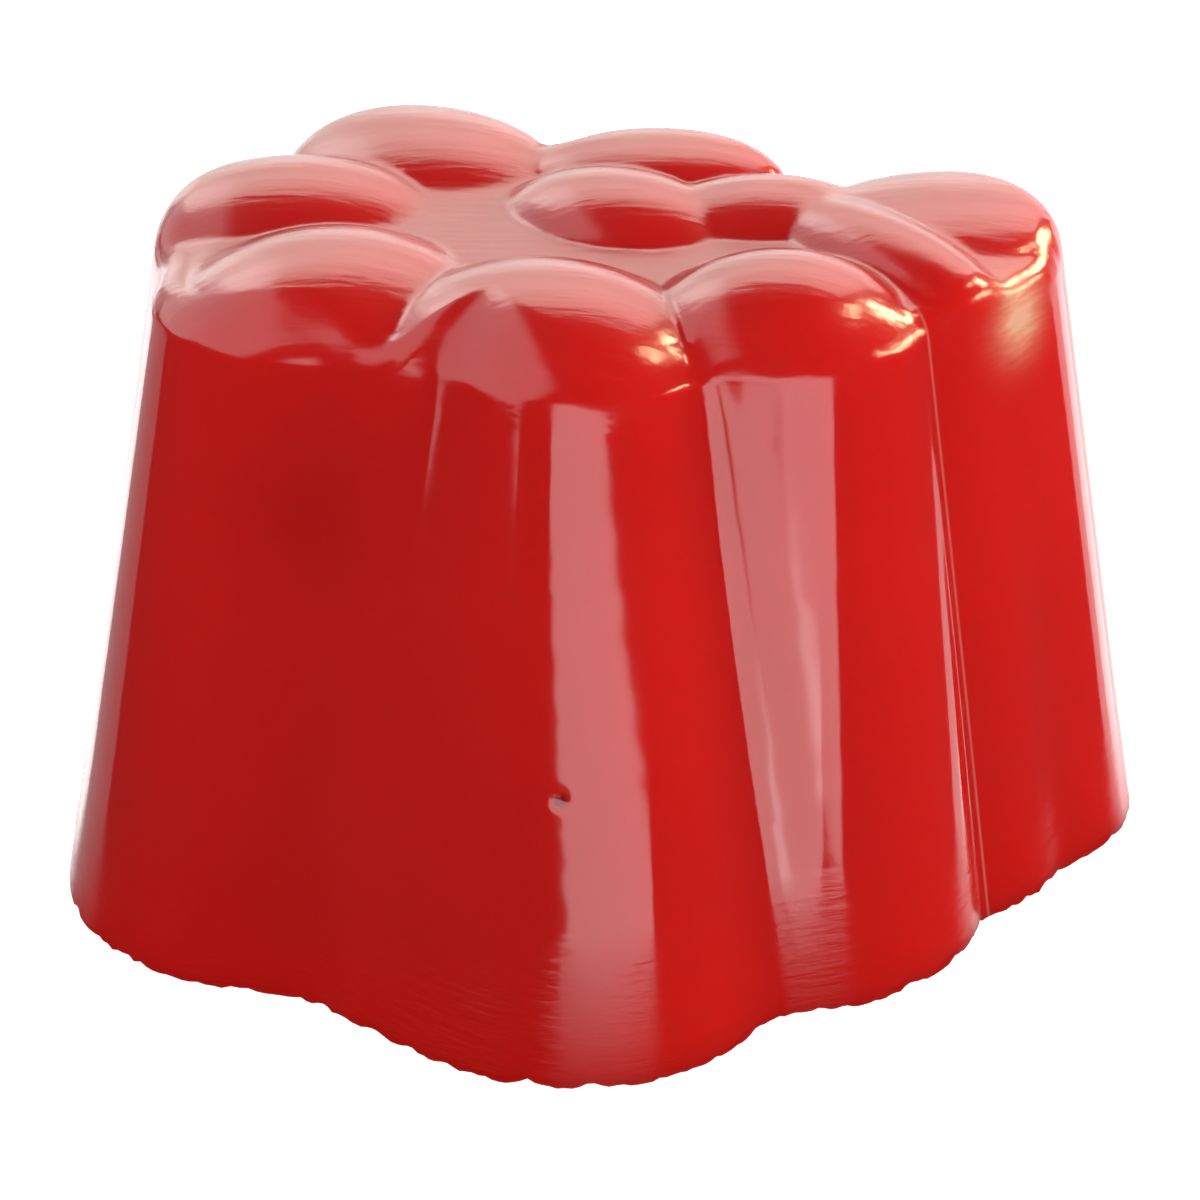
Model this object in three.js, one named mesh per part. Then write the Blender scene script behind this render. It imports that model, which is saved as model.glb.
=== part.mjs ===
// A starch-moulded gummy candy shaped like a small bunch of berries.
//
// One soft piece: eight berry columns round the edge lean outwards towards a flat base, and
// each ends in a low dome. Two more domes sit on the flat top between them. A ninth column
// without a dome is a web that fills the valley between the first two berries.
// Millimetres, +Z up. The candy stands on its flat base, on the plane z = 0.
// X runs across its long side, and -Y is the side with the three broad front berries.
// The middle of the base's bounding box is at the origin.

import * as THREE from "three";

// ---- driving dimensions -------------------------------------------------------------------

const TOP_HEIGHT = 12.65; // flat part of the top above the base
const RIM_LEG = 0.42; // how far the rounded rim reaches down the wall and in over the top
const DOME_FILLET = 0.2; // blend where a dome meets its neighbour or the flat top
const RIM_DROOP = 0.22; // how quickly the flat top sags near the wall, per millimetre
const RIM_DROOP_WIDTH = 1.2; // width of the band beside the wall that sags
const SHOULDER_START = 12; // height above which a berry's shoulder starts to pull in
const SHOULDER_POWER = 1.5; // how suddenly the shoulder turns in above that

// Each berry column is a tapered round post, and the second entry is the web. `top` and `base`
// are the round section at the flat top's height and at the base: x, y and radius. `blend` is
// the soft valley towards the entry before it, at the top and at the base: a small one leaves
// a crease. `shoulder` is how far the column pulls in at the flat top's height.
const BERRIES = [
  { top: [-5.3, -0.2, 2.82], base: [-5.9, -0.74, 4.33], blend: [1, 2.2], shoulder: 0.3 },
  { top: [-3.25, -1, 2.4], base: [-3.12, -3.66, 2.56], blend: [1, 1.6], shoulder: 0.1 },
  { top: [-0.42, -2.3, 2.45], base: [-0.43, -4.72, 3.65], blend: [1, 2.7], shoulder: 0.25 },
  { top: [2.9, -0.5, 3.27], base: [2.99, -1.56, 4.36], blend: [0.8, 1.5], shoulder: 0.25 },
  { top: [5.05, 0.6, 2.67], base: [5.93, 0.48, 3.16], blend: [0.2, 0.4], shoulder: 0 },
  { top: [5.92, 1.7, 2.65], base: [7.29, 2.34, 3.25], blend: [0.8, 0.6], shoulder: 0.05 },
  { top: [1.15, 3.1, 2.78], base: [1.3, 3.7, 4.25], blend: [1.2, 2.2], shoulder: 0 },
  { top: [-3.55, 4.25, 2.75], base: [-3.65, 4.9, 4.1], blend: [1.2, 2.2], shoulder: 0 },
  { top: [-5.7, 2.15, 2.58], base: [-6.35, 2.35, 3.95], blend: [0.9, 2], shoulder: 0.1 },
];

// Solid middle that the berry columns stand round.
const CORE = { centre: [-1.0, 1.2], radius: 3.2 };

// Each dome is a cap of an oval ball: its centre, its half length along `bearing` (degrees
// from +X), its half width across that, and how far it stands above the flat top. `spread` is
// the ball's own size against the cap's: near 1 the dome's edge is steep.
const DOMES = [
  { centre: [-4.95, -0.79], halfLength: 2.36, halfWidth: 2.2, bearing: 205, rise: 0.66, spread: 1.35 },
  { centre: [-1.06, -2.35], halfLength: 2.22, halfWidth: 2.5, bearing: 256, rise: 0.72, spread: 1.25 },
  { centre: [3.17, -1.75], halfLength: 1.85, halfWidth: 2.15, bearing: 288, rise: 0.74, spread: 1.4 },
  { centre: [5, 0.74], halfLength: 2.85, halfWidth: 1.15, bearing: 311, rise: 0.54, spread: 1.3 },
  { centre: [6.3, 2.12], halfLength: 2.5, halfWidth: 1.95, bearing: 17, rise: 0.41, spread: 1.1 },
  { centre: [1.05, 4.6], halfLength: 1.45, halfWidth: 2.45, bearing: 90, rise: 0.51, spread: 1.08 },
  { centre: [-3.4, 5.36], halfLength: 2.6, halfWidth: 2, bearing: 150, rise: 0.55, spread: 1.35 },
  { centre: [-5.85, 2.84], halfLength: 2.5, halfWidth: 1.85, bearing: 188, rise: 0.63, spread: 1.3 },
  { centre: [0.35, 2.26], halfLength: 2.2, halfWidth: 1.66, bearing: -27, rise: 0.65, spread: 1.17 },
  { centre: [3.07, 2.3], halfLength: 2.1, halfWidth: 1.45, bearing: 1, rise: 0.55, spread: 1.28 },
];

// The skin is a grid of spokes round this axis and rings from the base to the axis.
const AXIS = [0.3, 0.9];
const SPOKES = 128;
const WALL_RINGS = 12;
const WALL_CROWDING = 1.6; // above 1 the wall rings crowd towards the rim
const RIM_RINGS = 6;
const TOP_RINGS = 28;
const PLAN_MIDDLE = [0.09, 0.32]; // middle of the finished outline, moved to the origin
const SEARCH_RADIUS = 16; // a circle that clears the candy
const SEARCH_STEP = 0.25;

// ---- shape functions ----------------------------------------------------------------------

// The smaller of two values, with the corner between them rounded over the given width.
function softMin(a, b, width) {
  const overlap = Math.max(width - Math.abs(a - b), 0) / width;
  return Math.min(a, b) - (overlap ** 3 * width) / 6;
}

function softMax(a, b, width) {
  return -softMin(-a, -b, width);
}

function mix(start, end, share) {
  return start + (end - start) * share;
}

// Distance from a point to the wall at one height: negative inside the candy.
function wallDistance(x, y, z) {
  const share = THREE.MathUtils.clamp(1 - z / TOP_HEIGHT, -0.2, 1);
  const shoulderSpan = TOP_HEIGHT - SHOULDER_START;
  const aboveShoulder = THREE.MathUtils.clamp((z - SHOULDER_START) / shoulderSpan, 0, 2);
  const pullShare = aboveShoulder ** SHOULDER_POWER;
  let distance = Math.hypot(x - CORE.centre[0], y - CORE.centre[1]) - CORE.radius;
  for (const berry of BERRIES) {
    const centreX = mix(berry.top[0], berry.base[0], share);
    const centreY = mix(berry.top[1], berry.base[1], share);
    const radius = mix(berry.top[2], berry.base[2], share) - berry.shoulder * pullShare;
    const blend = mix(berry.blend[0], berry.blend[1], share);
    distance = softMin(distance, Math.hypot(x - centreX, y - centreY) - radius, blend);
  }
  return distance;
}

// Height of one dome above the flat top. The oval ball carries on below it outside the cap.
function domeHeight(dome, x, y) {
  const bearing = THREE.MathUtils.degToRad(dome.bearing);
  const dx = x - dome.centre[0];
  const dy = y - dome.centre[1];
  const along = (dx * Math.cos(bearing) + dy * Math.sin(bearing)) / dome.halfLength;
  const across = (dy * Math.cos(bearing) - dx * Math.sin(bearing)) / dome.halfWidth;
  const rimLevel = Math.sqrt(dome.spread ** 2 - 1);
  const level = Math.sqrt(Math.max(dome.spread ** 2 - along ** 2 - across ** 2, 0));
  return (dome.rise * (level - rimLevel)) / (dome.spread - rimLevel);
}

// Height of the top surface: the flat part, sagging near the wall, under the domes.
function topHeight(x, y) {
  const nearWall = Math.max(wallDistance(x, y, TOP_HEIGHT) + RIM_DROOP_WIDTH, 0);
  let height = -RIM_DROOP * nearWall ** 2;
  for (const dome of DOMES) {
    height = softMax(height, domeHeight(dome, x, y), DOME_FILLET);
  }
  return TOP_HEIGHT + height;
}

// How far the wall is from the axis along one spoke, at one height.
function wallReach(direction, z) {
  const outside = (reach) =>
    wallDistance(AXIS[0] + reach * direction[0], AXIS[1] + reach * direction[1], z) > 0;
  let far = SEARCH_RADIUS;
  while (outside(far - SEARCH_STEP)) {
    far -= SEARCH_STEP;
  }
  let near = far - SEARCH_STEP;
  for (let halving = 0; halving < 24; halving += 1) {
    const middle = (near + far) / 2;
    if (outside(middle)) {
      far = middle;
    } else {
      near = middle;
    }
  }
  return near;
}

// ---- skin ---------------------------------------------------------------------------------

// The section along one spoke: points [reach from the axis, height] from the base, up the
// wall, over the rounded rim and in to the last ring before the axis.
function spokeSection(direction) {
  const heightAt = (reach) =>
    topHeight(AXIS[0] + reach * direction[0], AXIS[1] + reach * direction[1]);
  let cornerHeight = TOP_HEIGHT;
  for (let pass = 0; pass < 10; pass += 1) {
    cornerHeight = mix(cornerHeight, heightAt(wallReach(direction, cornerHeight)), 0.5);
  }
  const corner = [wallReach(direction, cornerHeight), cornerHeight];
  const wallEnd = cornerHeight - RIM_LEG;
  const section = [];
  for (let ring = 0; ring < WALL_RINGS; ring += 1) {
    const z = wallEnd * (1 - (1 - ring / WALL_RINGS) ** WALL_CROWDING);
    section.push([wallReach(direction, z), z]);
  }
  const rimStart = [wallReach(direction, wallEnd), wallEnd];
  const rimEndReach = corner[0] - RIM_LEG;
  const rimEnd = [rimEndReach, heightAt(rimEndReach)];
  for (let ring = 0; ring < RIM_RINGS; ring += 1) {
    const share = ring / RIM_RINGS;
    const point = [0, 1].map((axis) =>
      mix(mix(rimStart[axis], corner[axis], share), mix(corner[axis], rimEnd[axis], share), share),
    );
    section.push(point);
  }
  for (let ring = 0; ring < TOP_RINGS; ring += 1) {
    const reach = rimEndReach * (1 - ring / TOP_RINGS);
    section.push([reach, heightAt(reach)]);
  }
  return section;
}

// The closed skin: the grid of spokes and rings, a point on the axis at the top, and a flat
// base that closes on the axis.
function candyGeometry() {
  const positions = [];
  const triangles = [];
  const rings = WALL_RINGS + RIM_RINGS + TOP_RINGS;
  for (let spoke = 0; spoke < SPOKES; spoke += 1) {
    const angle = (2 * Math.PI * spoke) / SPOKES;
    const direction = [Math.cos(angle), Math.sin(angle)];
    for (const [reach, z] of spokeSection(direction)) {
      positions.push(AXIS[0] + reach * direction[0], AXIS[1] + reach * direction[1], z);
    }
  }
  const crown = SPOKES * rings;
  const baseMiddle = crown + 1;
  positions.push(AXIS[0], AXIS[1], topHeight(AXIS[0], AXIS[1]));
  positions.push(AXIS[0], AXIS[1], 0);
  for (let spoke = 0; spoke < SPOKES; spoke += 1) {
    const here = spoke * rings;
    const next = ((spoke + 1) % SPOKES) * rings;
    for (let ring = 0; ring < rings - 1; ring += 1) {
      triangles.push(here + ring, next + ring, next + ring + 1);
      triangles.push(here + ring, next + ring + 1, here + ring + 1);
    }
    triangles.push(here + rings - 1, next + rings - 1, crown);
    triangles.push(next, here, baseMiddle);
  }
  const geometry = new THREE.BufferGeometry();
  geometry.setAttribute("position", new THREE.Float32BufferAttribute(positions, 3));
  geometry.setIndex(triangles);
  geometry.translate(-PLAN_MIDDLE[0], -PLAN_MIDDLE[1], 0);
  geometry.computeVertexNormals();
  return geometry;
}

// ---- the candy ----------------------------------------------------------------------------

const redGummy = new THREE.MeshStandardMaterial({
  color: "#b81a1a",
  roughness: 0.2,
  metalness: 0,
});

const candy = new THREE.Mesh(candyGeometry(), redGummy);
candy.name = "gummy_candy";

const part = new THREE.Group();
part.add(candy);

export default part;
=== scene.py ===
"""A red gummy candy moulded as a small bunch of berries, on a plain pale floor.

The candy is one piece. Geometry nodes make its skin: every horizontal section is the soft
union of eight tapered round berry columns and one web between two of them, and the top is
the soft union of ten low oval domes. A fine ripple, an uneven base edge, one nick and one
fold are then pressed into it. Sizes are in millimetres until the last node turns them to
metres.
"""

import logging
import math
from dataclasses import asdict, dataclass, field, fields
from enum import Enum

import bpy
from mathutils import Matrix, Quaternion, Vector


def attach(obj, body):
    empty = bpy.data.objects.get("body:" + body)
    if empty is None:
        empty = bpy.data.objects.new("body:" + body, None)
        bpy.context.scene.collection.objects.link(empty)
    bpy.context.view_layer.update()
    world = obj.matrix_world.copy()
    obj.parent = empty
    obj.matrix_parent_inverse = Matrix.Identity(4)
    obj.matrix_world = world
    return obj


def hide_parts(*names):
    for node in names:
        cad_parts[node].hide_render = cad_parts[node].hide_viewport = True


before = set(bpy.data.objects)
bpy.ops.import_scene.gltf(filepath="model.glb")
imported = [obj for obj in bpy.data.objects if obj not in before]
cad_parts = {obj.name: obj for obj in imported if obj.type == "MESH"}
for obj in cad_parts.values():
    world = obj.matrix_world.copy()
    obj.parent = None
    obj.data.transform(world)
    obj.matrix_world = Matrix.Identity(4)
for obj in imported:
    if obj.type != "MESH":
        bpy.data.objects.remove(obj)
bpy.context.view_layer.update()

logging.basicConfig(level=logging.INFO, format="%(message)s")
LOG = logging.getLogger("gummy_candy")

MM = 0.001


# ---- shared helpers ------------------------------------------------------------------------


def linear(code: str) -> tuple[float, float, float, float]:
    """Turns an sRGB hex colour to linear values.

    Args:
        code: the colour as "#rrggbb".

    Returns:
        Linear red, green and blue, and an alpha of 1.
    """
    shares = [int(code[start : start + 2], 16) / 255 for start in (1, 3, 5)]
    values = [s / 12.92 if s <= 0.04045 else ((s + 0.055) / 1.055) ** 2.4 for s in shares]
    return (values[0], values[1], values[2], 1.0)


def add_node(
    tree: bpy.types.NodeTree, kind: str, wires: dict | list, **settings: object
) -> bpy.types.Node:
    """Adds one node with its settings, values and links.

    Args:
        tree: the node tree that gets the node.
        kind: the node's Blender type name.
        wires: what each input gets, by name or in order: a socket to link, or a value.
        settings: the node's own properties.

    Returns:
        The new node.
    """
    node = tree.nodes.new(kind)
    for name, value in settings.items():
        setattr(node, name, value)
    pairs = wires.items() if isinstance(wires, dict) else enumerate(wires)
    for place, value in pairs:
        if isinstance(value, bpy.types.NodeSocket):
            tree.links.new(value, node.inputs[place])
        else:
            node.inputs[place].default_value = value
    return node


def add_steps(tree: bpy.types.NodeTree, known: dict, steps: str) -> dict:
    """Adds a chain of Math nodes from lines of "name = OPERATION a b c".

    Args:
        tree: the node tree that gets the nodes.
        known: sockets by name. Each step's result is added to it.
        steps: the lines. An operand is a name in known or a number.

    Returns:
        The same dictionary of sockets.
    """
    for line in filter(None, map(str.strip, steps.splitlines())):
        name, _, operation, *operands = line.split()
        values = [known[word] if word in known else float(word) for word in operands]
        known[name] = add_node(tree, "ShaderNodeMath", values, operation=operation).outputs[0]
    return known


def new_group(
    name: str, inputs: list[str], output: str
) -> tuple[bpy.types.NodeTree, dict, bpy.types.Node]:
    """Starts a node group whose inputs and one output are numbers.

    Args:
        name: the group's name.
        inputs: the names of its inputs.
        output: the name of its output.

    Returns:
        The tree, its input sockets by name, and its output node.
    """
    tree = bpy.data.node_groups.new(name, "GeometryNodeTree")
    for title in inputs:
        tree.interface.new_socket(name=title, in_out="INPUT", socket_type="NodeSocketFloat")
    tree.interface.new_socket(name=output, in_out="OUTPUT", socket_type="NodeSocketFloat")
    start = tree.nodes.new("NodeGroupInput")
    known = {title: start.outputs[title] for title in inputs}
    return tree, known, tree.nodes.new("NodeGroupOutput")


def remember(
    tree: bpy.types.NodeTree, mesh: bpy.types.NodeSocket, known: dict, values: dict
) -> bpy.types.NodeSocket:
    """Stores values on the mesh by name and reads them back, so that a loop can change them.

    Args:
        tree: the node tree that gets the nodes.
        mesh: the geometry that gets the values.
        known: sockets by name. Each name then stands for the stored value.
        values: the sockets to store, by name.

    Returns:
        The geometry with the values on it.
    """
    for name, value in values.items():
        wires = {"Geometry": mesh, "Name": name, "Value": value}
        mesh = add_node(tree, "GeometryNodeStoreNamedAttribute", wires, data_type="FLOAT").outputs[0]
    for name in values:
        known[name] = add_node(
            tree, "GeometryNodeInputNamedAttribute", {"Name": name}, data_type="FLOAT"
        ).outputs[0]
    return mesh


# ---- the candy's shape ---------------------------------------------------------------------


@dataclass(frozen=True)
class Berry:
    """One berry column, or the web: its round section at the top and at the base, and its
    soft valley towards the berry before it. The shoulder is how far it pulls in at the top."""

    top_x: float
    top_y: float
    top_radius: float
    base_x: float
    base_y: float
    base_radius: float
    top_blend: float
    base_blend: float
    shoulder: float = 0.0


@dataclass(frozen=True)
class Dome:
    """One low dome: a cap of an oval ball. Bearing is in degrees from +X, and a spread near
    1 makes the dome's edge steep."""

    centre_x: float
    centre_y: float
    half_length: float
    half_width: float
    bearing: float
    rise: float
    spread: float


BERRIES = (
    Berry(-5.3, -0.2, 2.82, -5.9, -0.74, 4.33, 1.0, 2.2, 0.3),
    Berry(-3.25, -1.0, 2.4, -3.12, -3.66, 2.56, 1.0, 1.6, 0.1),
    Berry(-0.42, -2.3, 2.45, -0.43, -4.72, 3.65, 1.0, 2.7, 0.25),
    Berry(2.9, -0.5, 3.27, 2.99, -1.56, 4.36, 0.8, 1.5, 0.25),
    Berry(5.05, 0.6, 2.67, 5.93, 0.48, 3.16, 0.2, 0.4),
    Berry(5.92, 1.7, 2.65, 7.29, 2.34, 3.25, 0.8, 0.6, 0.05),
    Berry(1.15, 3.1, 2.78, 1.3, 3.7, 4.25, 1.2, 2.2),
    Berry(-3.55, 4.25, 2.75, -3.65, 4.9, 4.1, 1.2, 2.2),
    Berry(-5.7, 2.15, 2.58, -6.35, 2.35, 3.95, 0.9, 2.0, 0.1),
)

DOMES = (
    Dome(-4.95, -0.79, 2.36, 2.2, 205, 0.66, 1.35),
    Dome(-1.06, -2.35, 2.22, 2.5, 256, 0.72, 1.25),
    Dome(3.17, -1.75, 1.85, 2.15, 288, 0.74, 1.4),
    Dome(5.0, 0.74, 2.85, 1.15, 311, 0.54, 1.3),
    Dome(6.3, 2.12, 2.5, 1.95, 17, 0.41, 1.1),
    Dome(1.05, 4.6, 1.45, 2.45, 90, 0.51, 1.08),
    Dome(-3.4, 5.36, 2.6, 2.0, 150, 0.55, 1.35),
    Dome(-5.85, 2.84, 2.5, 1.85, 188, 0.63, 1.3),
    Dome(0.35, 2.26, 2.2, 1.66, -27, 0.65, 1.17),
    Dome(3.07, 2.3, 2.1, 1.45, 1, 0.55, 1.28),
)

# The solid middle that the columns stand round, the axis that the skin's spokes start from,
# and the middle of the finished outline, which is moved to the origin.
CORE_X, CORE_Y, CORE_RADIUS = -1.0, 1.2, 3.2
AXIS_X, AXIS_Y = 0.3, 0.9
MIDDLE_X, MIDDLE_Y = 0.09, 0.32

# The columns' taper goes on a little above the flat top, and a shoulder turns in with this
# power of the height above its start, up to a limit in spans from its start to the flat top.
TAPER_ABOVE = 0.2
SHOULDER_POWER, SHOULDER_LIMIT = 1.5, 2.0

# The sizes that the wall and the top surface are worked out from.
WALL_SIZES = ("top_height", "shoulder_start")
TOP_SIZES = (*WALL_SIZES, "rim_droop", "rim_droop_width", "dome_fillet")

# The values that the skin's grid holds while it is made. They are removed at the end.
GRID_VALUES = (
    "cosine",
    "sine",
    "top_share",
    "rim_share",
    "wall_share",
    "base_share",
    "reach",
    "corner",
)
STORED = (*GRID_VALUES, "corner_reach", "wall_height")

NICK_PLACE = (-0.8, -7.2, 5.156)

# Far less than one ring's share, to allow for rounding where a share should be 0 or 1.
ROUNDING = 0.001


# ---- the candy's finish --------------------------------------------------------------------


@dataclass(frozen=True)
class Spot:
    """A soft round spot on the skin: its middle and its radius, in millimetres."""

    x: float
    y: float
    z: float
    radius: float

    def share(
        self, tree: bpy.types.NodeTree, place: bpy.types.NodeSocket, unit: float
    ) -> bpy.types.NodeSocket:
        """Adds the nodes that fade from 1 at the spot's middle to 0 outside it.

        Args:
            tree: the node tree that gets the nodes.
            place: the point on the skin.
            unit: the size of a millimetre in the place's own unit.

        Returns:
            The share of the spot at the place.
        """
        middle = (self.x * unit, self.y * unit, self.z * unit)
        away = add_node(tree, "ShaderNodeVectorMath", [place, middle], operation="DISTANCE")
        steps = f"""
            near = DIVIDE away {self.radius * unit}
            square = MULTIPLY near near
            falling = MULTIPLY square -1
            share = EXPONENT falling
            """
        return add_steps(tree, {"away": away.outputs["Value"]}, steps)["share"]


@dataclass(frozen=True)
class Pattern:
    """One soft uneven pattern: its size along x, y and z in millimetres, how many finer
    copies are laid over it, and how strong each of them is. It has no seed, so it is the
    same in each run."""

    size_mm: tuple[float, float, float]
    copies: float
    strength: float

    def value(self, tree: bpy.types.NodeTree, place: bpy.types.NodeSocket) -> bpy.types.NodeSocket:
        """Adds the nodes for the pattern.

        Args:
            tree: the material's node tree.
            place: the point on the skin, in metres.

        Returns:
            The pattern's value at the place, from 0 to 1.
        """
        scale = tuple(1 / (size * MM) for size in self.size_mm)
        spread = add_node(tree, "ShaderNodeMapping", {"Vector": place, "Scale": scale}).outputs[0]
        wires = {"Vector": spread, "Scale": 1.0, "Detail": self.copies, "Roughness": self.strength}
        return add_node(tree, "ShaderNodeTexNoise", wires).outputs[0]


@dataclass(frozen=True)
class Crease:
    """The thin pale line painted down one sharp valley, as a painted reflection along its edge:
    two points on it, the way out of the candy there, and its width, in millimetres."""

    top: tuple[float, float, float] = (5.859, -2.348, 11.794)
    low: tuple[float, float, float] = (7.299, -2.65, 0.264)
    outward: tuple[float, float, float] = (0.552, -0.834, 0.0)
    width: float = 0.045
    reach_in: float = 0.6

    def share(self, tree: bpy.types.NodeTree, place: bpy.types.NodeSocket) -> bpy.types.NodeSocket:
        """Adds the nodes for the line. It lies in one plane that cuts the skin.

        Args:
            tree: the material's node tree.
            place: the point on the skin, in metres.

        Returns:
            The share of the line at the place.
        """
        top, low = Vector(self.top) * MM, Vector(self.low) * MM
        outward = Vector(self.outward).normalized()
        across = (low - top).cross(outward).normalized()
        from_top = add_node(tree, "ShaderNodeVectorMath", [place, top], operation="SUBTRACT")
        known = {}
        for name, way in (("side", across), ("out", outward)):
            wires = [from_top.outputs[0], way]
            along = add_node(tree, "ShaderNodeVectorMath", wires, operation="DOT_PRODUCT")
            known[name] = along.outputs["Value"]
        steps = f"""
            away = ABSOLUTE side
            near = DIVIDE away {self.width * MM}
            line_left = SUBTRACT 1 near
            line = MAXIMUM line_left 0
            outside = GREATER_THAN out {-self.reach_in * MM}
            share = MULTIPLY line outside
            """
        return add_steps(tree, known, steps)["share"]


@dataclass(frozen=True)
class GelatineFinish:
    """Red gelatine gummy, moulded in starch and polished with a little oil.

    It is a soft clear jelly, so light goes a few millimetres deep and glows scarlet on the
    side that faces the window. The low part of the wall, one patch on the left wall and the
    nick are painted a darker red, as painted shade. A pale line down one valley is a painted
    reflection, and a pale patch under one rim is a painted highlight. The oil gives the
    walls a sharp gloss. The starch takes some of it away near the base and on the domes.
    """

    # The two reds of the jelly, the darker red that is painted shade, the pale line that is
    # a painted reflection in the crease, and the pale colour that is a painted highlight under
    # one rim.
    deep: str = "#dc1d1a"
    bright: str = "#e6201c"
    thick: str = "#ae120f"
    flash: str = "#ef8f80"
    rubbed: str = "#ffc09c"

    # Red light goes about 3 mm into the jelly, and green and blue hardly go in at all.
    glow_depth_mm: float = 3.0
    glow_spread: tuple[float, float, float] = (1.0, 0.06, 0.05)

    # The oil's gloss, and how much of it the starch takes away at the base.
    ior: float = 1.5
    gloss: float = 0.5
    dusty_share: float = 0.48

    # The oiled wall is the smoothest. The others are added to it low down, on top and where
    # the skin was rubbed.
    wall_roughness: float = 0.07
    low_roughness: float = 0.26
    top_roughness: float = 0.13
    scuff_roughness: float = 0.15

    # Heights above the base: where the starch's marks end, where the painted shade low on
    # the walls ends, and where the top begins.
    low_height_mm: float = 2.8
    thick_height_mm: float = 8.0
    top_start_mm: float = 11.5
    top_steepness: float = 1.1

    # How strongly the painted shade and the painted reflection in the crease show, and where.
    thick_share: float = 0.32
    dark_patch: Spot = Spot(-5.46, -3.81, 9.3, 1.6)
    dark_patch_share: float = 0.7
    nick: Spot = Spot(*NICK_PLACE, 0.09)
    nick_share: float = 3.0
    crease: Crease = Crease()
    flash_share: float = 0.6

    # The patch under one rim that is rougher and streaked, and painted pale as a painted
    # highlight of the warm sun: what shows all over it, and what its fine marks add.
    scuff: Spot = Spot(7.65, -0.88, 11.72, 0.65)
    scuff_plain: float = 0.55
    scuff_marks: float = 0.35
    scuff_strength: float = 1.7
    scuff_streaks: float = 0.3
    mark_level: float = 0.4
    mark_contrast: float = 3.0

    # Uneven sugar in the jelly, which shows as broad soft patches of the two reds.
    patch: Pattern = Pattern((4.0, 4.0, 4.0), 2.0, 0.5)

    # Starch grains are about 0.02 mm across, too fine to show, so the grain is drawn 0.3 mm.
    grain: Pattern = Pattern((0.3, 0.3, 0.3), 3.0, 0.6)
    grain_depth_mm: float = 0.004
    wall_grain: float = 0.2

    # Flat streaks low on the walls, where the candy was drawn out of the starch. Real ones
    # are a few hundredths of a millimetre high, and these are drawn 0.12 mm to show.
    streak: Pattern = Pattern((0.7, 0.7, 0.12), 3.0, 0.6)
    streak_depth_mm: float = 0.014

    # Brush-like waves across the domes, where the oil was wiped on.
    brush: Pattern = Pattern((1.3, 0.2, 0.2), 2.0, 0.5)
    brush_depth_mm: float = 0.012

    def add_shares(self, tree: bpy.types.NodeTree, known: dict) -> None:
        """Adds the nodes for the painted shade, reflection and highlight, and for how dusty and
        rough the skin is at a place.

        Args:
            tree: the material's node tree.
            known: its sockets by name, with the height, the patterns and the spots. The
                results are added to it.
        """
        # The darker red mixed in low down, at one patch on the left wall and in the nick is painted
        # shade; the pale crease line is a painted reflection and the pale patch under one rim a
        # painted highlight.
        add_steps(
            tree,
            known,
            f"""
            height_mm = DIVIDE height {MM}
            low_part = DIVIDE height_mm {self.low_height_mm}
            low_left = SUBTRACT 1 low_part
            low_above = MAXIMUM low_left 0
            low_bend = SUBTRACT 2 low_above
            low = MULTIPLY low_above low_bend
            low_break = MULTIPLY low streak
            thick_part = DIVIDE height_mm {self.thick_height_mm}
            thick_left = SUBTRACT 1 thick_part
            thick_low = MAXIMUM thick_left 0
            thick_both = MULTIPLY_ADD dark_patch {self.dark_patch_share} thick_low
            thick_soft = MULTIPLY thick_both {self.thick_share}
            thick_share = MULTIPLY_ADD nick {self.nick_share} thick_soft
            above = SUBTRACT height_mm {self.top_start_mm}
            above_steep = MULTIPLY above {self.top_steepness}
            above_low = MAXIMUM above_steep 0
            on_top = MINIMUM above_low 1
            rough_top = MULTIPLY_ADD on_top {self.top_roughness} {self.wall_roughness}
            rough_low = MULTIPLY_ADD low_break {self.low_roughness} rough_top
            roughness = MULTIPLY_ADD scuff {self.scuff_roughness} rough_low
            dust = MULTIPLY low_above {self.dusty_share}
            gloss = SUBTRACT {self.gloss} dust
            grain_share = MULTIPLY_ADD on_top {1 - self.wall_grain} {self.wall_grain}
            grain_all = ADD grain_share scuff
            grain_height = MULTIPLY grain grain_all
            grain_relief = MULTIPLY grain_height {self.grain_depth_mm}
            streak_share = MULTIPLY_ADD scuff {self.scuff_streaks} low
            streak_height = MULTIPLY streak streak_share
            low_relief = MULTIPLY_ADD streak_height {self.streak_depth_mm} grain_relief
            brush_height = MULTIPLY brush on_top
            relief = MULTIPLY_ADD brush_height {self.brush_depth_mm} low_relief
            mark_above = SUBTRACT streak {self.mark_level}
            mark_steep = MULTIPLY mark_above {self.mark_contrast}
            mark_low = MAXIMUM mark_steep 0
            mark = MINIMUM mark_low 1
            rub_each = MULTIPLY_ADD mark {self.scuff_marks} {self.scuff_plain}
            rub_soft = MULTIPLY scuff rub_each
            rub_more = MULTIPLY rub_soft {self.scuff_strength}
            rub_share = MINIMUM rub_more 1
            flash_share = MULTIPLY crease {self.flash_share}
            """,
        )

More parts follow.
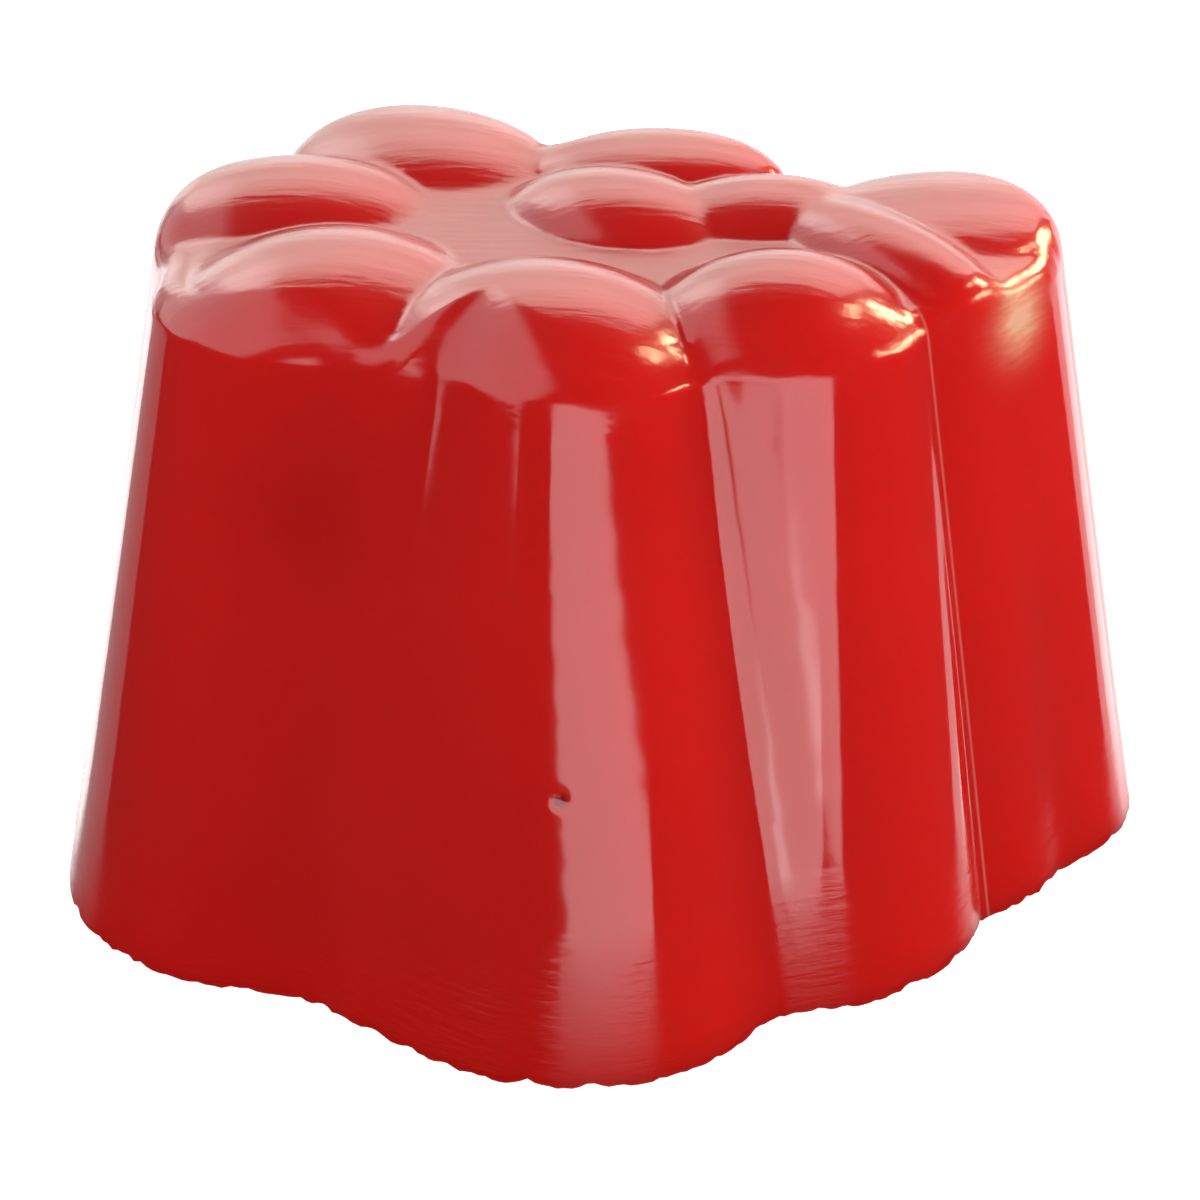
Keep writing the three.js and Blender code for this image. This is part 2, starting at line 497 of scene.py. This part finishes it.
    def material(self) -> bpy.types.Material:
        """Builds the material.

        Returns:
            The material, with its nodes.
        """
        made = bpy.data.materials.new("red_gelatine_gummy")
        made.use_nodes = True
        tree = made.node_tree
        tree.nodes.clear()
        place = add_node(tree, "ShaderNodeTexCoord", []).outputs["Object"]
        known = {
            "height": add_node(tree, "ShaderNodeSeparateXYZ", [place]).outputs[2],
            "crease": self.crease.share(tree, place),
        }
        for name in ("patch", "grain", "streak", "brush"):
            known[name] = getattr(self, name).value(tree, place)
        for name in ("dark_patch", "nick", "scuff"):
            known[name] = getattr(self, name).share(tree, place, MM)
        self.add_shares(tree, known)
        colour = linear(self.deep)
        # The patches are the jelly's own two reds. Over them go painted shade, a painted reflection
        # in the crease and a painted highlight under one rim.
        layers = (
            ("patch", self.bright),
            ("thick_share", self.thick),
            ("flash_share", self.flash),
            ("rub_share", self.rubbed),
        )
        for share, over in layers:
            wires = {0: known[share], 6: colour, 7: linear(over)}
            colour = add_node(tree, "ShaderNodeMix", wires, data_type="RGBA").outputs[2]
        bump = add_node(
            tree, "ShaderNodeBump", {"Strength": 1.0, "Distance": MM, "Height": known["relief"]}
        ).outputs[0]
        skin = add_node(
            tree,
            "ShaderNodeBsdfPrincipled",
            {
                "Base Color": colour,
                "Roughness": known["roughness"],
                "IOR": self.ior,
                "Specular IOR Level": known["gloss"],
                "Normal": bump,
                "Subsurface Weight": 1.0,
                "Subsurface Radius": self.glow_spread,
                "Subsurface Scale": self.glow_depth_mm * MM,
            },
        )
        add_node(tree, "ShaderNodeOutputMaterial", {"Surface": skin.outputs[0]})
        return made


# ---- the candy's skin ----------------------------------------------------------------------


@dataclass
class GummyCandy:
    """The whole candy: one skin of spokes and rings, closed at the crown and the base.

    Each number below is a named input of the skin's node tree. Sizes are in millimetres.
    """

    # The smooth form, with the sizes of the solid.
    top_height: float = 12.65
    rim_leg: float = 0.42
    dome_fillet: float = 0.2
    rim_droop: float = 0.22
    rim_droop_width: float = 1.2
    shoulder_start: float = 12.0

    # Where the search for the wall starts, and how far the skin then stays inside the wall.
    start_reach: float = 14.0
    inset: float = 0.004

    # The fine ripple. It is full from a small height above the base upwards.
    ripple: float = 0.006
    ripple_length: float = 0.8
    ripple_full_height: float = 0.4

    # The uneven base edge. It lifts where its noise is above the level, and the lift fades
    # out up the wall.
    ragged: float = 0.55
    ragged_length: float = 0.5
    ragged_height: float = 0.5
    ragged_level: float = 0.45

    # The nick, and the fold along a slightly sloping line across the front.
    nick_depth: float = 0.03
    fold_depth: float = 0.012
    fold_height: float = 4.58
    fold_slope: float = 0.15
    fold_middle: float = -2.6
    fold_half_length: float = 1.7
    fold_half_width: float = 0.2

    # The grid, and the steps of the three walks: to the corner, to settle it, to the wall.
    spokes: int = 432
    top_rings: int = 92
    rim_rings: int = 16
    wall_rings: int = 106
    base_rings: int = 8
    corner_steps: int = 16
    settle_steps: int = 20
    wall_steps: int = 30

    nick: Spot = Spot(*NICK_PLACE, 0.1)
    finish: GelatineFinish = field(default_factory=GelatineFinish)

    def berry_group(self) -> bpy.types.NodeTree:
        """Builds the group that joins one berry column to the distance so far.

        Returns:
            The group.
        """
        names = [f.name for f in fields(Berry)]
        tree, known, end = new_group(
            "berry_column", ["x", "y", "share", "shoulder_share", "so_far", *names], "distance"
        )
        add_steps(
            tree,
            known,
            """
            span_x = SUBTRACT base_x top_x
            centre_x = MULTIPLY_ADD span_x share top_x
            span_y = SUBTRACT base_y top_y
            centre_y = MULTIPLY_ADD span_y share top_y
            span_radius = SUBTRACT base_radius top_radius
            tapered = MULTIPLY_ADD span_radius share top_radius
            pulled = MULTIPLY shoulder shoulder_share
            radius = SUBTRACT tapered pulled
            span_blend = SUBTRACT base_blend top_blend
            blend = MULTIPLY_ADD span_blend share top_blend
            dx = SUBTRACT x centre_x
            dy = SUBTRACT y centre_y
            dx_square = MULTIPLY dx dx
            square = MULTIPLY_ADD dy dy dx_square
            reach = SQRT square
            single = SUBTRACT reach radius
            joined = SMOOTH_MIN so_far single blend
            """,
        )
        tree.links.new(known["joined"], end.inputs[0])
        return tree

    def wall_group(self) -> bpy.types.NodeTree:
        """Builds the group for the distance from a point to the wall at one height.

        Returns:
            The group.
        """
        berry_tree = self.berry_group()
        tree, known, end = new_group("wall_distance", ["x", "y", "height", *WALL_SIZES], "distance")
        add_steps(
            tree,
            known,
            f"""
            up = DIVIDE height top_height
            down = SUBTRACT 1 up
            down_low = MAXIMUM down {-TAPER_ABOVE}
            share = MINIMUM down_low 1
            shoulder_span = SUBTRACT top_height shoulder_start
            above = SUBTRACT height shoulder_start
            above_share = DIVIDE above shoulder_span
            above_low = MAXIMUM above_share 0
            above_both = MINIMUM above_low {SHOULDER_LIMIT}
            shoulder_share = POWER above_both {SHOULDER_POWER}
            core_dx = SUBTRACT x {CORE_X}
            core_dy = SUBTRACT y {CORE_Y}
            core_square_x = MULTIPLY core_dx core_dx
            core_square = MULTIPLY_ADD core_dy core_dy core_square_x
            core_reach = SQRT core_square
            so_far = SUBTRACT core_reach {CORE_RADIUS}
            """,
        )
        shared = ("x", "y", "share", "shoulder_share", "so_far")
        for berry in BERRIES:
            wires = {name: known[name] for name in shared} | asdict(berry)
            column = add_node(tree, "GeometryNodeGroup", wires, node_tree=berry_tree)
            known["so_far"] = column.outputs[0]
        tree.links.new(known["so_far"], end.inputs[0])
        return tree

    def dome_group(self) -> bpy.types.NodeTree:
        """Builds the group that joins one dome to the height so far.

        Returns:
            The group.
        """
        names = [f.name for f in fields(Dome)]
        tree, known, end = new_group("dome", ["x", "y", "so_far", "dome_fillet", *names], "height")
        add_steps(
            tree,
            known,
            """
            dx = SUBTRACT x centre_x
            dy = SUBTRACT y centre_y
            turn = RADIANS bearing
            cosine = COSINE turn
            sine = SINE turn
            along_x = MULTIPLY dx cosine
            along_both = MULTIPLY_ADD dy sine along_x
            along = DIVIDE along_both half_length
            across_x = MULTIPLY dx sine
            across_y = MULTIPLY dy cosine
            across_both = SUBTRACT across_y across_x
            across = DIVIDE across_both half_width
            along_square = MULTIPLY along along
            square = MULTIPLY_ADD across across along_square
            ball_square = MULTIPLY spread spread
            below = SUBTRACT ball_square 1
            rim_level = SQRT below
            inside = SUBTRACT ball_square square
            inside_low = MAXIMUM inside 0
            level = SQRT inside_low
            lift = SUBTRACT level rim_level
            full = SUBTRACT spread rim_level
            lift_share = DIVIDE lift full
            single = MULTIPLY lift_share rise
            joined = SMOOTH_MAX so_far single dome_fillet
            """,
        )
        tree.links.new(known["joined"], end.inputs[0])
        return tree

    def top_group(self, wall_tree: bpy.types.NodeTree) -> bpy.types.NodeTree:
        """Builds the group for the height of the top surface.

        Args:
            wall_tree: the group for the distance to the wall.

        Returns:
            The group.
        """
        dome_tree = self.dome_group()
        tree, known, end = new_group("top_surface", ["x", "y", *TOP_SIZES], "height")
        wires = {name: known[name] for name in ("x", "y", *WALL_SIZES)}
        wires["height"] = known["top_height"]
        known["wall"] = add_node(tree, "GeometryNodeGroup", wires, node_tree=wall_tree).outputs[0]
        add_steps(
            tree,
            known,
            """
            near = ADD wall rim_droop_width
            near_low = MAXIMUM near 0
            near_square = MULTIPLY near_low near_low
            sag = MULTIPLY near_square rim_droop
            so_far = MULTIPLY sag -1
            """,
        )
        for dome in DOMES:
            wires = {name: known[name] for name in ("x", "y", "so_far", "dome_fillet")} | asdict(dome)
            cap = add_node(tree, "GeometryNodeGroup", wires, node_tree=dome_tree)
            known["so_far"] = cap.outputs[0]
        add_steps(tree, known, "height = ADD so_far top_height")
        tree.links.new(known["height"], end.inputs[0])
        return tree

    def skin_tree(self, material: bpy.types.Material) -> bpy.types.NodeTree:
        """Builds the main tree, which makes the candy's skin.

        Args:
            material: what the skin is made of.

        Returns:
            The tree, for a Geometry Nodes modifier.
        """
        tree = bpy.data.node_groups.new("berry_gummy_skin", "GeometryNodeTree")
        tree.interface.new_socket(name="Geometry", in_out="OUTPUT", socket_type="NodeSocketGeometry")
        kinds = {float: "NodeSocketFloat", int: "NodeSocketInt"}
        sizes = {f.name: kinds[f.type] for f in fields(self) if f.type in kinds}
        for name, kind in sizes.items():
            tree.interface.new_socket(name=name, in_out="INPUT", socket_type=kind)
        start = tree.nodes.new("NodeGroupInput")
        known = {name: start.outputs[name] for name in sizes}
        wall_tree = self.wall_group()
        top_tree = self.top_group(wall_tree)
        mesh = self.add_grid(tree, known)

        # The corner of the section: where the top surface would meet the wall.
        mesh = self.walk(tree, known, mesh, wall_tree, None, "corner", "corner_steps")
        mesh = self.walk(tree, known, mesh, wall_tree, top_tree, "corner", "settle_steps")
        self.add_wall_heights(tree, known)
        values = {"corner_reach": known["reach"], "wall_height": known["wall_height"]}
        mesh = remember(tree, mesh, known, values)
        mesh = remember(tree, mesh, known, {"reach": known["start_reach"]})
        mesh = self.walk(tree, known, mesh, wall_tree, None, "wall_height", "wall_steps")

        mesh = self.add_section(tree, known, mesh, top_tree)
        mesh = self.add_relief(tree, known, mesh)
        place = add_node(tree, "GeometryNodeInputPosition", []).outputs[0]
        wires = {"Vector": place, "Scale": MM}
        metres = add_node(tree, "ShaderNodeVectorMath", wires, operation="SCALE").outputs[0]

        # The skin is smooth but for the edge between the wall and the base.
        add_steps(
            tree,
            known,
            f"""
            wall_foot = GREATER_THAN wall_share {1 - ROUNDING}
            at_edge = MULTIPLY wall_foot off_base
            """,
        )
        sharp = {"Selection": known["at_edge"], "Shade Smooth": False}
        last_nodes = (
            ("GeometryNodeSetPosition", {"Position": metres}, {}),
            ("GeometryNodeSetShadeSmooth", {"Shade Smooth": True}, {}),
            ("GeometryNodeSetShadeSmooth", sharp, {"domain": "EDGE"}),
            *(("GeometryNodeRemoveAttribute", {"Name": name}, {}) for name in STORED),
            ("GeometryNodeRealizeInstances", {}, {}),
            ("GeometryNodeSetMaterial", {"Material": material}, {}),
        )
        for kind, wires, settings in last_nodes:
            mesh = add_node(tree, kind, {"Geometry": mesh, **wires}, **settings).outputs[0]
        add_node(tree, "NodeGroupOutput", {"Geometry": mesh})
        return tree

    def add_grid(self, tree: bpy.types.NodeTree, known: dict) -> bpy.types.NodeSocket:
        """Adds a ball as the closed grid: its longitude is the spoke, its latitude the ring.

        Args:
            tree: the main tree.
            known: its sockets by name. The spoke's direction and the ring's shares of the
                top, rim, wall and base are added to it.

        Returns:
            The ball, with these values, the reach and the corner stored on it.
        """
        add_steps(
            tree,
            known,
            """
            outer_rings = ADD top_rings rim_rings
            lower_rings = ADD wall_rings base_rings
            rings = ADD outer_rings lower_rings
            """,
        )
        ball = add_node(
            tree,
            "GeometryNodeMeshUVSphere",
            {"Segments": known["spokes"], "Rings": known["rings"], "Radius": 1.0},
        ).outputs[0]
        on_ball = add_node(tree, "GeometryNodeInputPosition", []).outputs[0]
        parts = add_node(tree, "ShaderNodeSeparateXYZ", [on_ball])
        known.update(zip(("ball_x", "ball_y", "ball_z"), parts.outputs))
        add_steps(
            tree,
            known,
            f"""
            spoke_turn = ARCTAN2 ball_y ball_x
            cosine = COSINE spoke_turn
            sine = SINE spoke_turn
            flat_x = MULTIPLY ball_x ball_x
            flat_square = MULTIPLY_ADD ball_y ball_y flat_x
            flat = SQRT flat_square
            latitude = ARCTAN2 flat ball_z
            latitude_share = DIVIDE latitude {math.pi}
            ring_part = MULTIPLY latitude_share rings
            ring = ROUND ring_part
            top_part = DIVIDE ring top_rings
            top_share = MINIMUM top_part 1
            past_top = SUBTRACT ring top_rings
            past_rim = SUBTRACT past_top rim_rings
            past_wall = SUBTRACT past_rim wall_rings
            """,
        )
        for zone, past in (("rim", "past_top"), ("wall", "past_rim"), ("base", "past_wall")):
            steps = f"""
                part = DIVIDE {past} {zone}_rings
                part_low = MAXIMUM part 0
                {zone}_share = MINIMUM part_low 1
                """
            add_steps(tree, known, steps)
        known.update(reach=known["start_reach"], corner=known["top_height"])
        return remember(tree, ball, known, {name: known[name] for name in GRID_VALUES})

    def walk(
        self,
        tree: bpy.types.NodeTree,
        known: dict,
        mesh: bpy.types.NodeSocket,
        wall_tree: bpy.types.NodeTree,
        top_tree: bpy.types.NodeTree | None,
        level: str,
        steps: str,
    ) -> bpy.types.NodeSocket:
        """Adds a loop that walks the stored reach to the wall, by the distance that is left.

        Args:
            tree: the main tree.
            known: its sockets by name.
            mesh: the geometry that holds the stored values.
            wall_tree: the group for the distance to the wall.
            top_tree: the group for the top surface, to settle the corner's height as well.
            level: the stored value with the height of the section.
            steps: the input that says how many steps the loop takes.

        Returns:
            The geometry after the loop.
        """
        begin = add_node(tree, "GeometryNodeRepeatInput", [])
        finish = add_node(tree, "GeometryNodeRepeatOutput", [])
        begin.pair_with_output(finish)
        tree.links.new(known[steps], begin.inputs["Iterations"])
        tree.links.new(mesh, begin.inputs["Geometry"])
        add_steps(
            tree,
            known,
            f"""
            x = MULTIPLY_ADD reach cosine {AXIS_X}
            y = MULTIPLY_ADD reach sine {AXIS_Y}
            """,
        )
        wires = {name: known[name] for name in ("x", "y", *WALL_SIZES)}
        wires["height"] = known[level]
        known["gap"] = add_node(tree, "GeometryNodeGroup", wires, node_tree=wall_tree).outputs[0]
        add_steps(tree, known, "closer = SUBTRACT reach gap")
        inner = remember(tree, begin.outputs["Geometry"], known, {"reach": known["closer"]})
        if top_tree is not None:
            wires = {name: known[name] for name in ("x", "y", *TOP_SIZES)}
            top = add_node(tree, "GeometryNodeGroup", wires, node_tree=top_tree)
            known["surface"] = top.outputs[0]
            add_steps(
                tree,
                known,
                """
                both = ADD surface corner
                halfway = DIVIDE both 2
                """,
            )
            inner = remember(tree, inner, known, {"corner": known["halfway"]})
        tree.links.new(inner, finish.inputs["Geometry"])
        return finish.outputs["Geometry"]

    def add_wall_heights(self, tree: bpy.types.NodeTree, known: dict) -> None:
        """Adds the height of each ring on the wall, with the uneven edge at the base.

        Args:
            tree: the main tree.
            known: its sockets by name. The height of the wall's rings, and whether a ring
                is off the base, are added to it.
        """
        add_steps(
            tree,
            known,
            """
            round_x = MULTIPLY cosine reach
            round_y = MULTIPLY sine reach
            rag_scale = DIVIDE 1 ragged_length
            """,
        )
        around = add_node(tree, "ShaderNodeCombineXYZ", [known["round_x"], known["round_y"]])
        known["rag_noise"] = add_node(
            tree,
            "ShaderNodeTexNoise",
            {
                "Vector": around.outputs[0],
                "Scale": known["rag_scale"],
                "Detail": 2.0,
                "Roughness": 0.6,
            },
        ).outputs[0]
        add_steps(
            tree,
            known,
            f"""
            wall_end = SUBTRACT corner rim_leg
            wall_left = SUBTRACT 1 wall_share
            even_height = MULTIPLY wall_end wall_left
            rag_part = DIVIDE even_height ragged_height
            rag_left = SUBTRACT 1 rag_part
            rag_low = MAXIMUM rag_left 0
            rag_above = SUBTRACT rag_noise ragged_level
            rag_lift = MAXIMUM rag_above 0
            rag_high = MULTIPLY rag_lift ragged
            off_base = LESS_THAN base_share {ROUNDING}
            rag_wall = MULTIPLY rag_high off_base
            wall_height = MULTIPLY_ADD rag_wall rag_low even_height
            """,
        )

    def add_section(
        self,
        tree: bpy.types.NodeTree,
        known: dict,
        mesh: bpy.types.NodeSocket,
        top_tree: bpy.types.NodeTree,
    ) -> bpy.types.NodeSocket:
        """Moves the grid to the section: top, rounded rim and wall, closed by the base.

        Args:
            tree: the main tree.
            known: its sockets by name.
            mesh: the grid, with the reach and height of its corner and its wall.
            top_tree: the group for the top surface.

        Returns:
            The smooth skin, in millimetres.
        """
        add_steps(
            tree,
            known,
            f"""
            rim_end = SUBTRACT corner_reach rim_leg
            top_reach = MULTIPLY rim_end top_share
            x = MULTIPLY_ADD top_reach cosine {AXIS_X}
            y = MULTIPLY_ADD top_reach sine {AXIS_Y}
            """,
        )
        wires = {name: known[name] for name in ("x", "y", *TOP_SIZES)}
        top = add_node(tree, "GeometryNodeGroup", wires, node_tree=top_tree)
        known["top_surface"] = top.outputs[0]
        add_steps(
            tree,
            known,
            f"""
            in_span = SUBTRACT corner_reach top_reach
            in_leg = MULTIPLY_ADD in_span rim_share top_reach
            out_span = SUBTRACT reach corner_reach
            out_leg = MULTIPLY_ADD out_span rim_share corner_reach
            leg_span = SUBTRACT out_leg in_leg
            skin_reach = MULTIPLY_ADD leg_span rim_share in_leg
            in_rise = SUBTRACT corner top_surface
            in_height = MULTIPLY_ADD in_rise rim_share top_surface
            out_drop = SUBTRACT wall_height corner
            out_height = MULTIPLY_ADD out_drop rim_share corner
            height_span = SUBTRACT out_height in_height
            skin_height = MULTIPLY_ADD height_span rim_share in_height
            base_left = SUBTRACT 1 base_share
            base_reach = MULTIPLY skin_reach base_left
            inset_reach = MULTIPLY inset base_left
            trimmed = SUBTRACT base_reach inset_reach
            skin_x = MULTIPLY_ADD trimmed cosine {AXIS_X - MIDDLE_X}
            skin_y = MULTIPLY_ADD trimmed sine {AXIS_Y - MIDDLE_Y}
            """,
        )
        corners = [known[name] for name in ("skin_x", "skin_y", "skin_height")]
        on_skin = add_node(tree, "ShaderNodeCombineXYZ", corners).outputs[0]
        wires = {"Geometry": mesh, "Position": on_skin}
        return add_node(tree, "GeometryNodeSetPosition", wires).outputs[0]

    def add_relief(
        self, tree: bpy.types.NodeTree, known: dict, mesh: bpy.types.NodeSocket
    ) -> bpy.types.NodeSocket:
        """Adds the low ripple of the skin, one nick and one shallow fold, all pressed inwards.

        Args:
            tree: the main tree.
            known: its sockets by name.
            mesh: the smooth skin, in millimetres.

        Returns:
            The skin with its relief.
        """
        place = add_node(tree, "GeometryNodeInputPosition", []).outputs[0]
        add_steps(tree, known, "ripple_scale = DIVIDE 1 ripple_length")
        noise = {"Vector": place, "Scale": known["ripple_scale"], "Detail": 2.0, "Roughness": 0.5}
        known["wave"] = add_node(tree, "ShaderNodeTexNoise", noise).outputs[0]
        known["nick"] = self.nick.share(tree, place, 1.0)
        parts = add_node(tree, "ShaderNodeSeparateXYZ", [place])
        known.update(zip(("x", "y", "z"), parts.outputs))
        add_steps(
            tree,
            known,
            """
            fold_line = MULTIPLY_ADD x fold_slope fold_height
            fold_off = SUBTRACT z fold_line
            fold_near = DIVIDE fold_off fold_half_width
            fold_across = MULTIPLY fold_near fold_near
            fold_side = SUBTRACT x fold_middle
            fold_share = DIVIDE fold_side fold_half_length
            fold_both = MULTIPLY_ADD fold_share fold_share fold_across
            fold_falling = MULTIPLY fold_both -1
            fold_soft = EXPONENT fold_falling
            in_front = LESS_THAN y 0
            fold_seen = MULTIPLY fold_soft in_front
            fold_wave = MULTIPLY fold_seen wave
            fold = MULTIPLY fold_wave fold_depth
            up_part = DIVIDE z ripple_full_height
            up_share = MINIMUM up_part 1
            wave_depth = MULTIPLY_ADD wave ripple inset
            wave_in = MULTIPLY wave_depth up_share
            nick_in = MULTIPLY_ADD nick nick_depth wave_in
            pressed = ADD nick_in fold
            outwards = MULTIPLY pressed -1
            """,
        )
        normal = add_node(tree, "GeometryNodeInputNormal", []).outputs[0]
        wires = {"Vector": normal, "Scale": known["outwards"]}
        offset = add_node(tree, "ShaderNodeVectorMath", wires, operation="SCALE").outputs[0]
        wires = {"Geometry": mesh, "Offset": offset}
        return add_node(tree, "GeometryNodeSetPosition", wires).outputs[0]

    def build(self) -> bpy.types.Object:
        """Returns:
            The finished piece.
        """
        tree = self.skin_tree(self.finish.material())
        seed = bpy.data.objects.new("candy_seed", bpy.data.meshes.new("candy_seed"))
        bpy.context.scene.collection.objects.link(seed)
        modifier = seed.modifiers.new("skin", "NODES")
        modifier.node_group = tree
        for item in tree.interface.items_tree:
            if item.in_out == "INPUT":
                modifier[item.identifier] = getattr(self, item.name)
        evaluated = seed.evaluated_get(bpy.context.evaluated_depsgraph_get())
        mesh = bpy.data.meshes.new_from_object(evaluated)
        mesh.name = "gummy_candy_skin"
        seed.modifiers.remove(modifier)
        bpy.data.objects.remove(seed)
        piece = bpy.data.objects.new("gummy_candy_skin", mesh)
        bpy.context.scene.collection.objects.link(piece)
        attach(piece, "root")
        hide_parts("gummy_candy")
        return piece


# ---- the studio ----------------------------------------------------------------------------


class LightTone(Enum):
    """The colours of the studio's lights."""

    DAYLIGHT = "#ffffff"
    WARM_WALL = "#fff6ea"
    WARM_SUN = "#ffe9b8"


@dataclass(frozen=True)
class SoftLight:
    """One rectangular soft light that faces the candy.

    Azimuth is 0 towards the camera and 90 to the right, elevation is above the floor, both
    sizes are seen from the candy, and lean turns the light about its own middle, all in degrees.
    """

    name: str
    azimuth: float
    elevation: float
    wide: float
    tall: float
    radiance: float
    tone: LightTone = LightTone.DAYLIGHT
    lean: float = 0.0
    distance: float = 0.4
    seen_in_gloss: bool = True

    def build(self, target: Vector) -> None:
        """Makes the light. It serves either the gloss or the body's glow, not both.

        Args:
            target: the point that it faces, in metres.
        """
        turn, rise = math.radians(self.azimuth), math.radians(self.elevation)
        outward = Vector(
            (math.sin(turn) * math.cos(rise), -math.cos(turn) * math.cos(rise), math.sin(rise))
        )
        data = bpy.data.lights.new(self.name, "AREA")
        data.shape = "RECTANGLE"
        data.size = 2 * self.distance * math.tan(math.radians(self.wide) / 2)
        data.size_y = 2 * self.distance * math.tan(math.radians(self.tall) / 2)
        data.energy = self.radiance * math.pi * data.size * data.size_y
        data.color = linear(self.tone.value)[:3]
        made = bpy.data.objects.new(self.name, data)
        made.location = target + outward * self.distance
        made.rotation_mode = "QUATERNION"
        upright = outward.to_track_quat("Z", "Y")
        made.rotation_quaternion = upright @ Quaternion((0, 0, 1), math.radians(self.lean))
        made.visible_glossy = self.seen_in_gloss
        made.visible_diffuse = not self.seen_in_gloss
        made.visible_camera = False
        bpy.context.scene.collection.objects.link(made)


@dataclass(frozen=True)
class Studio:
    """The pale floor, the soft lights and the camera."""

    camera_place_mm: tuple[float, float, float] = (-0.09, -84.59, 49.47)
    camera_target_mm: tuple[float, float, float] = (-0.09, -0.32, 5.6)
    lens_mm: float = 150.2
    sight_m: tuple[float, float] = (0.001, 10.0)
    floor_half_mm: float = 600.0
    floor_colour: str = "#fafafa"
    floor_glow: float = 0.9
    air_glow: float = 0.06

    def add_camera(self) -> None:
        """Makes the camera and sets it as the scene's."""
        data = bpy.data.cameras.new("camera")
        data.lens = self.lens_mm
        data.clip_start, data.clip_end = self.sight_m
        camera = bpy.data.objects.new("camera", data)
        camera.location = Vector(self.camera_place_mm) * MM
        towards = Vector(self.camera_target_mm) * MM - camera.location
        camera.rotation_mode = "QUATERNION"
        camera.rotation_quaternion = towards.to_track_quat("-Z", "Y")
        bpy.context.scene.collection.objects.link(camera)
        bpy.context.scene.camera = camera

    def add_floor(self) -> None:
        """Makes the plain pale floor, which the candy's gloss and glow don't show."""
        half = self.floor_half_mm * MM
        mesh = bpy.data.meshes.new("floor")
        corners = [(-half, -half, 0), (half, -half, 0), (half, half, 0), (-half, half, 0)]
        mesh.from_pydata(corners, [], [(0, 1, 2, 3)])

        # Matt white card has no gloss, so it looks the same pale shade all over.
        made = bpy.data.materials.new("matt_white_card")
        made.use_nodes = True
        made.node_tree.nodes.clear()
        sheet = add_node(
            made.node_tree,
            "ShaderNodeBsdfPrincipled",
            {
                "Base Color": linear(self.floor_colour),
                "Roughness": 1.0,
                "Specular IOR Level": 0.0,
                "Emission Color": linear(self.floor_colour),
                "Emission Strength": self.floor_glow,
            },
        )
        add_node(made.node_tree, "ShaderNodeOutputMaterial", {"Surface": sheet.outputs[0]})
        mesh.materials.append(made)
        floor = bpy.data.objects.new("floor", mesh)
        bpy.context.scene.collection.objects.link(floor)
        floor.visible_glossy = False
        floor.visible_shadow = False
        floor.visible_diffuse = False

    def add_lights(self) -> None:
        """Makes the soft lights and the dim even light all round.

        The gloss shows a bright room: a wall at the back, a window at the left, pale strips
        low in front and a warm sun at the right. The lights named glow light the jelly.
        """
        target = Vector(self.camera_target_mm) * MM
        lights = (
            SoftLight("back_wall", 180, 18.5, 62, 25, 2.35, LightTone.WARM_WALL),
            SoftLight("back_wall_high", 180, 44.5, 62, 27, 3.8, LightTone.WARM_WALL),
            SoftLight("back_left", -150, 15, 24, 50, 0.8),
            SoftLight("back_low", 172, -12, 74, 40, 1.4),
            SoftLight("right_low", 135, -14, 24, 44, 1.2),
            SoftLight("left_low", -138, -20, 40, 30, 0.45),
            SoftLight("left_window", -90, 36, 100, 66, 1.9),
            SoftLight("front_strip", 13, 1.5, 64, 14, 3.5, lean=-18),
            SoftLight("front_low", 11, -10.2, 42, 9, 3.5, lean=-12),
            SoftLight("sun", 124, 27, 15, 18, 26.0, LightTone.WARM_SUN),
            SoftLight("sun_high", 104, 45, 12, 6, 26.0, LightTone.WARM_SUN),
            SoftLight("sun_low", 96, 11, 34, 7, 20.0, LightTone.WARM_SUN),
            SoftLight("glow_left", -90, 20, 40, 36, 1.3, seen_in_gloss=False),
            SoftLight("glow_left_front", -45, 20, 40, 36, 0.85, seen_in_gloss=False),
            SoftLight("glow_front", 0, 20, 40, 36, 2.8, seen_in_gloss=False),
            SoftLight("glow_right", 90, 20, 40, 36, 5.3, seen_in_gloss=False),
            SoftLight("glow_right_back", 135, 20, 40, 36, 1.8, seen_in_gloss=False),
            SoftLight("glow_floor", 0, -85, 70, 70, 0.6, seen_in_gloss=False),
        )
        for light in lights:
            light.build(target)
        world = bpy.data.worlds.new("studio_air")
        world.use_nodes = True
        world.node_tree.nodes.clear()
        wires = {"Color": linear(LightTone.DAYLIGHT.value), "Strength": self.air_glow}
        air = add_node(world.node_tree, "ShaderNodeBackground", wires)
        add_node(world.node_tree, "ShaderNodeOutputWorld", {"Surface": air.outputs[0]})
        bpy.context.scene.world = world
        bpy.context.scene.view_settings.view_transform = "Standard"


def main() -> None:
    """Builds the camera, the candy and the studio."""
    studio = Studio()
    studio.add_camera()
    candy = GummyCandy().build()
    LOG.info("%s: %d faces", candy.name, len(candy.data.polygons))
    studio.add_floor()
    studio.add_lights()


if __name__ == "__main__":
    main()
